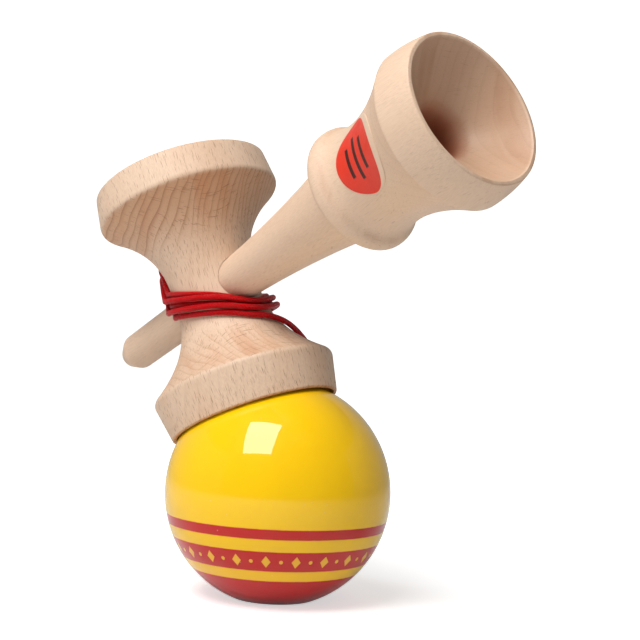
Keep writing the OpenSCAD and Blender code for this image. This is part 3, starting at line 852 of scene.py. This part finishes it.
def lacquer(p):
    mat, tree, body = newFinish("stripedLacquer")
    spot = tree.nodes.new("ShaderNodeTexCoord")
    inMm = scaled(tree, spot.outputs["Object"], (1000, 1000, 1000), move=(0, 0, -ballZ))
    x, y, z = split(tree, inMm)
    # brushed edges of the stripes waver a little
    waver = calc(tree, "MULTIPLY_ADD", noise(tree, inMm, 0.5, 2.0), 0.12, -0.06)
    brushed = calc(tree, "ADD", z, waver)
    red = None
    for low, high in p["stripes"]:
        band = calc(tree, "MULTIPLY", ramp(tree, brushed, low - p["soft"], low + p["soft"]),
                    ramp(tree, brushed, high + p["soft"], high - p["soft"]))
        red = band if red is None else calc(tree, "MAXIMUM", red, band)
    # a row of small lozenges and dots in the wide stripe
    turn = calc(tree, "DIVIDE", calc(tree, "ARCTAN2", y, x), 2 * pi)
    count = calc(tree, "ADD", calc(tree, "MULTIPLY", turn, p["marks"]), 100.0)
    place = calc(tree, "SUBTRACT", calc(tree, "FRACT", count), 0.5)
    half = calc(tree, "FRACT", calc(tree, "MULTIPLY", calc(tree, "FLOOR", count), 0.5))
    odd = calc(tree, "GREATER_THAN", half, 0.25)
    side = calc(tree, "ABSOLUTE", calc(tree, "MULTIPLY", place, 2 * pi * p["markRowR"] / p["marks"]))
    rise = calc(tree, "ABSOLUTE", calc(tree, "SUBTRACT", z, p["markRow"]))
    wide, tall = p["lozenge"]
    lozenge = calc(tree, "ADD", calc(tree, "DIVIDE", side, wide), calc(tree, "DIVIDE", rise, tall))
    dot = calc(tree, "DIVIDE", lengthOf(tree, side, rise), p["dot"])
    even = calc(tree, "SUBTRACT", 1.0, odd)
    shape = calc(tree, "ADD", calc(tree, "MULTIPLY", odd, dot), calc(tree, "MULTIPLY", even, lozenge))
    mark = ramp(tree, shape, 1.06, 0.94)
    # thin and thick places of the paint
    cloud = noise(tree, scaled(tree, inMm, (0.06, 0.06, 0.06)), 1.0, 3.0)
    yellow = mixed(tree, ramp(tree, cloud, 0.3, 0.7, 0.0, 0.12),
                   shade(*p["yellow"]), shade(*p["thickYellow"]))
    redder = mixed(tree, ramp(tree, cloud, 0.3, 0.7, 0.0, 0.25), shade(*p["red"]), shade(*p["thickRed"]))
    colour = mixed(tree, red, yellow, redder)
    colour = mixed(tree, mark, colour, shade(*p["mark"]))
    speck = ramp(tree, cells(tree, scaled(tree, inMm, (0.22, 0.22, 0.22))), 0.05, 0.03, 0.0, 0.2)
    colour = mixed(tree, speck, colour, shade(*p["dust"]))
    put(tree, body.inputs["Base Color"], colour)
    put(tree, body.inputs["Roughness"], ramp(tree, cloud, 0.2, 0.8, 0.32, 0.44))
    body.inputs["Specular IOR Level"].default_value = 0.05
    body.inputs["Coat Weight"].default_value = 0.85
    body.inputs["Coat Roughness"].default_value = 0.035
    body.inputs["Coat IOR"].default_value = 1.52
    peel = calc(tree, "MULTIPLY", noise(tree, inMm, 0.9, 2.0), 0.6)
    normal = bumped(tree, calc(tree, "ADD", peel, calc(tree, "MULTIPLY", red, 0.5)), 0.04, 0.0001)
    put(tree, body.inputs["Normal"], normal)
    put(tree, body.inputs["Coat Normal"], normal)
    return mat


# Red braid: paler ticks on the crests of one set of strands are a painted highlight, and darker red between
# the strands is painted shade
braid = {
    # pale is a painted highlight on the strands' crests; deep is painted shade between strands and also the
    # fuzz colour
    "deep": (140, 0, 4), "red": (228, 0, 14), "pale": (255, 130, 125), "sheen": (255, 150, 150),
    "highlightShare": 0.3,
}


def braidFinish(b, name, plaits):
    mat, tree, body = newFinish(name)
    u, v = laidOut(tree, "along")
    v = calc(tree, "MULTIPLY", v, plaits)
    right = calc(tree, "MULTIPLY", calc(tree, "ADD", v, u), 2 * pi)
    left = calc(tree, "MULTIPLY", calc(tree, "SUBTRACT", v, u), 2 * pi)
    cr, cl = calc(tree, "COSINE", right), calc(tree, "COSINE", left)
    over = calc(tree, "MULTIPLY", cr, calc(tree, "MULTIPLY_ADD", cl, 0.4, 0.6))
    under = calc(tree, "MULTIPLY", cl, calc(tree, "MULTIPLY_ADD", cr, -0.4, 0.6))
    weave = calc(tree, "MAXIMUM", over, under)
    # single threads inside each strand
    rightThread = calc(tree, "SINE", calc(tree, "MULTIPLY", right, 4.0))
    leftThread = calc(tree, "SINE", calc(tree, "MULTIPLY", left, 4.0))
    isRight = calc(tree, "GREATER_THAN", over, under)
    thread = calc(tree, "ADD", calc(tree, "MULTIPLY", isRight, rightThread),
                  calc(tree, "MULTIPLY", calc(tree, "SUBTRACT", 1.0, isRight), leftThread))
    spot = tree.nodes.new("ShaderNodeTexCoord")
    fuzz = noise(tree, scaled(tree, spot.outputs["Object"], (2600, 2600, 2600)), 1.0, 3.0, 0.6)
    # painted shade: the red darkens to deep red in the gaps between strands
    colour = mixed(tree, ramp(tree, weave, -0.2, 0.5), shade(*b["deep"]), shade(*b["red"]))
    # painted highlight: paler ticks on the crests of the right-hand strands
    paintedHighlight = calc(tree, "MULTIPLY", isRight, ramp(tree, weave, 0.55, 0.95))
    paintedHighlight = calc(tree, "MULTIPLY", paintedHighlight, ramp(tree, thread, -0.6, 0.9))
    colour = mixed(tree, calc(tree, "MULTIPLY", paintedHighlight, b["highlightShare"]), colour, shade(*b["pale"]))
    colour = mixed(tree, ramp(tree, fuzz, 0.35, 0.75, 0.0, 0.3), colour, shade(*b["deep"]))
    put(tree, body.inputs["Base Color"], colour)
    put(tree, body.inputs["Roughness"], ramp(tree, fuzz, 0.2, 0.8, 0.2, 0.34))
    body.inputs["Specular IOR Level"].default_value = 0.14
    body.inputs["Sheen Weight"].default_value = 0.01
    body.inputs["Sheen Roughness"].default_value = 0.4
    body.inputs["Sheen Tint"].default_value = shade(*b["sheen"])
    relief = calc(tree, "MULTIPLY_ADD", thread, 0.3, calc(tree, "MULTIPLY", fuzz, 0.5))
    relief = calc(tree, "ADD", weave, relief)
    put(tree, body.inputs["Normal"], bumped(tree, relief, 0.8, 0.0001))
    return mat


# Film with a smaller red oval printed on it, and three dark lines in that
film = {
    "red": (226, 58, 36), "worn": (206, 44, 28), "fleck": (240, 150, 120),
    "bar": (58, 22, 16), "bare": (228, 198, 171),
    "middle": 0.065, "half": 0.435, "barWide": 0.032, "barSoft": 0.008,
    "bars": ((-0.17, 0.2), (0.0, 0.28), (0.17, 0.2)),  # place and half length of each line
}


def filmFinish(f):
    mat, tree, body = newFinish("printedFilm")
    u, v = laidOut(tree, "flat")
    u = calc(tree, "SUBTRACT", u, 0.5 + f["middle"])
    v = calc(tree, "SUBTRACT", v, 0.5)
    bars = None
    for at, reach in f["bars"]:
        across = calc(tree, "ABSOLUTE", calc(tree, "SUBTRACT", u, at))
        inLength = ramp(tree, calc(tree, "ABSOLUTE", v), reach + 0.01, reach - 0.01)
        bar = ramp(tree, across, f["barWide"] + f["barSoft"], f["barWide"] - f["barSoft"])
        bar = calc(tree, "MULTIPLY", bar, inLength)
        bars = bar if bars is None else calc(tree, "MAXIMUM", bars, bar)
    du, dv = calc(tree, "DIVIDE", u, f["half"]), calc(tree, "DIVIDE", v, 0.5)
    oval = calc(tree, "ADD", calc(tree, "MULTIPLY", du, du), calc(tree, "MULTIPLY", dv, dv))
    printed = ramp(tree, oval, 1.02, 0.98)
    spot = tree.nodes.new("ShaderNodeTexCoord")
    inMm = scaled(tree, spot.outputs["Object"], (1000, 1000, 1000))
    grainy = noise(tree, inMm, 6.0, 3.0, 0.6)
    worn = noise(tree, inMm, 0.35, 3.0, 0.6)
    colour = mixed(tree, ramp(tree, worn, 0.3, 0.75, 0.0, 0.3), shade(*f["red"]), shade(*f["worn"]))
    colour = mixed(tree, bars, colour, shade(*f["bar"]))
    colour = mixed(tree, ramp(tree, grainy, 0.62, 0.74, 0.0, 0.2), colour, shade(*f["fleck"]))
    colour = mixed(tree, printed, shade(*f["bare"]), colour)
    put(tree, body.inputs["Base Color"], colour)
    put(tree, body.inputs["Roughness"], ramp(tree, worn, 0.25, 0.75, 0.28, 0.42))
    body.inputs["Specular IOR Level"].default_value = 0.3
    put(tree, body.inputs["Normal"], bumped(tree, calc(tree, "ADD", grainy, bars), 0.12, 0.00005))
    return mat


def finishWith(obj, mat):
    obj.data.materials.clear()
    obj.data.materials.append(mat)


finishWith(crosspiece, beech(crossGrain))
finishWith(handle, beech(handleGrain))
finishWith(beadPiece, beech(beadGrain))
finishWith(ballPiece, lacquer(paint))
finishWith(string, braidFinish(braid, "redBraid", cord["plaits"]))
knotBraid = braidFinish(braid, "knotBraid", knotSet["plaits"])
finishWith(anchorKnot, knotBraid)
finishWith(beadKnot, knotBraid)
finishWith(sticker, filmFinish(film))
print("finishes on")

# White floor with a cove behind and beside the toy, open towards the camera
stageSet = {
    "near": 1.7, "bend": 0.5, "bendSteps": 12, "rise": 1.5, "floor": 5.0,
    "open": 70, "faces": -45, "turnStep": 10,
    "white": 0.85, "glow": 0.58, "farGlow": 1.0, "glowFrom": 0.06, "glowTo": 0.3, "inGloss": 0.2, "sky": 0.2,
}


def makeStage(s):
    form = bmesh.new()
    line = [(s["near"], 0.0)]
    for i in range(1, s["bendSteps"] + 1):
        a = pi / 2 * i / s["bendSteps"]
        line.append((s["near"] + s["bend"] * sin(a), s["bend"] * (1 - cos(a))))
    line.append((s["near"] + s["bend"], s["rise"]))
    turns = range(0, 361 - 2 * s["open"], s["turnStep"])
    turns = [radians(s["faces"] + s["open"] + i) for i in turns]
    rows = [[form.verts.new((d * cos(a), d * sin(a), z)) for d, z in line] for a in turns]
    for left, right in zip(rows, rows[1:]):
        for i in range(len(line) - 1):
            form.faces.new((left[i], right[i], right[i + 1], left[i + 1])).smooth = True
    form.faces.new([row[0] for row in rows])
    front = range(0, 2 * s["open"] + 1, s["turnStep"])
    front = [radians(s["faces"] - s["open"] + i) for i in front]
    edge = [form.verts.new((s["floor"] * cos(a), s["floor"] * sin(a), 0)) for a in front]
    form.faces.new([rows[-1][0], *edge, rows[0][0]])
    mesh = toMesh(form, "sweep", outward=False)
    obj = link(bpy.data.objects.new("sweep", mesh))
    mat = bpy.data.materials.new("whiteSweep")
    mat.use_nodes = True
    tree = mat.node_tree
    tree.nodes.clear()
    out = tree.nodes.new("ShaderNodeOutputMaterial")
    both = tree.nodes.new("ShaderNodeAddShader")
    matt = tree.nodes.new("ShaderNodeBsdfDiffuse")
    matt.inputs["Color"].default_value = (s["white"], s["white"], s["white"], 1)
    glow = tree.nodes.new("ShaderNodeEmission")
    ray = tree.nodes.new("ShaderNodeLightPath")
    seen = calc(tree, "MAXIMUM", ray.outputs["Is Camera Ray"], ray.outputs["Is Transmission Ray"])
    seen = calc(tree, "MAXIMUM", seen, calc(tree, "MULTIPLY", ray.outputs["Is Glossy Ray"], s["inGloss"]))
    # the glow that makes the background white is weaker round the toy, where its shadow lies
    spot = tree.nodes.new("ShaderNodeTexCoord")
    away = tree.nodes.new("ShaderNodeVectorMath")
    away.operation = "LENGTH"
    put(tree, away.inputs[0], spot.outputs["Object"])
    light = ramp(tree, away.outputs["Value"], s["glowFrom"], s["glowTo"], s["glow"], s["farGlow"])
    put(tree, glow.inputs["Strength"], calc(tree, "MULTIPLY", seen, light))
    tree.links.new(matt.outputs[0], both.inputs[0])
    tree.links.new(glow.outputs[0], both.inputs[1])
    tree.links.new(both.outputs[0], out.inputs["Surface"])
    mesh.materials.append(mat)


def makeWorld(s):
    world = bpy.data.worlds.new("studio")
    scene.world = world
    world.use_nodes = True
    tree = world.node_tree
    tree.nodes.clear()
    out = tree.nodes.new("ShaderNodeOutputWorld")
    back = tree.nodes.new("ShaderNodeBackground")
    back.inputs["Color"].default_value = (1, 1, 1, 1)
    # white where the camera sees past the cove
    ray = tree.nodes.new("ShaderNodeLightPath")
    seen = calc(tree, "MAXIMUM", ray.outputs["Is Camera Ray"], ray.outputs["Is Transmission Ray"])
    put(tree, back.inputs["Strength"], calc(tree, "MAXIMUM", seen, s["sky"]))
    tree.links.new(back.outputs[0], out.inputs["Surface"])


# A soft box above the front, as the ball mirrors it, and a wide weak fill at the left
lampSet = {
    "name": "softBox", "toward": (0.003, -0.539, 0.843), "away": 0.7,
    "wide": (0.4735, 0.0855, 0.069), "tall": (-0.155, 0.5, 0.307), "power": 4.6, "mirrored": True,
}
fillSet = {
    "name": "leftFill", "toward": (-0.62, -0.77, 0.15), "away": 1.3,
    "wide": (0.77, -0.62, 0), "tall": (0, 0, 1.0), "power": 2.5, "mirrored": False,
}


def makeLamp(s):
    toward = Vector(s["toward"]).normalized()
    right = Vector(s["wide"])
    right = (right - right.dot(toward) * toward).normalized()
    data = bpy.data.lights.new(s["name"], "AREA")
    data.shape = "RECTANGLE"
    data.size = Vector(s["wide"]).length * s["away"]
    data.size_y = Vector(s["tall"]).length * s["away"]
    data.energy = s["power"]
    obj = link(bpy.data.objects.new(s["name"], data))
    turn = Matrix((right, toward.cross(right), toward)).transposed().to_4x4()
    obj.matrix_world = Matrix.Translation(Vector((0, 0, ballZ * mm)) + toward * s["away"]) @ turn
    obj.visible_camera = False
    obj.visible_glossy = s["mirrored"]


makeStage(stageSet)
makeWorld(stageSet)
makeLamp(lampSet)
makeLamp(fillSet)
print("stage and light set")
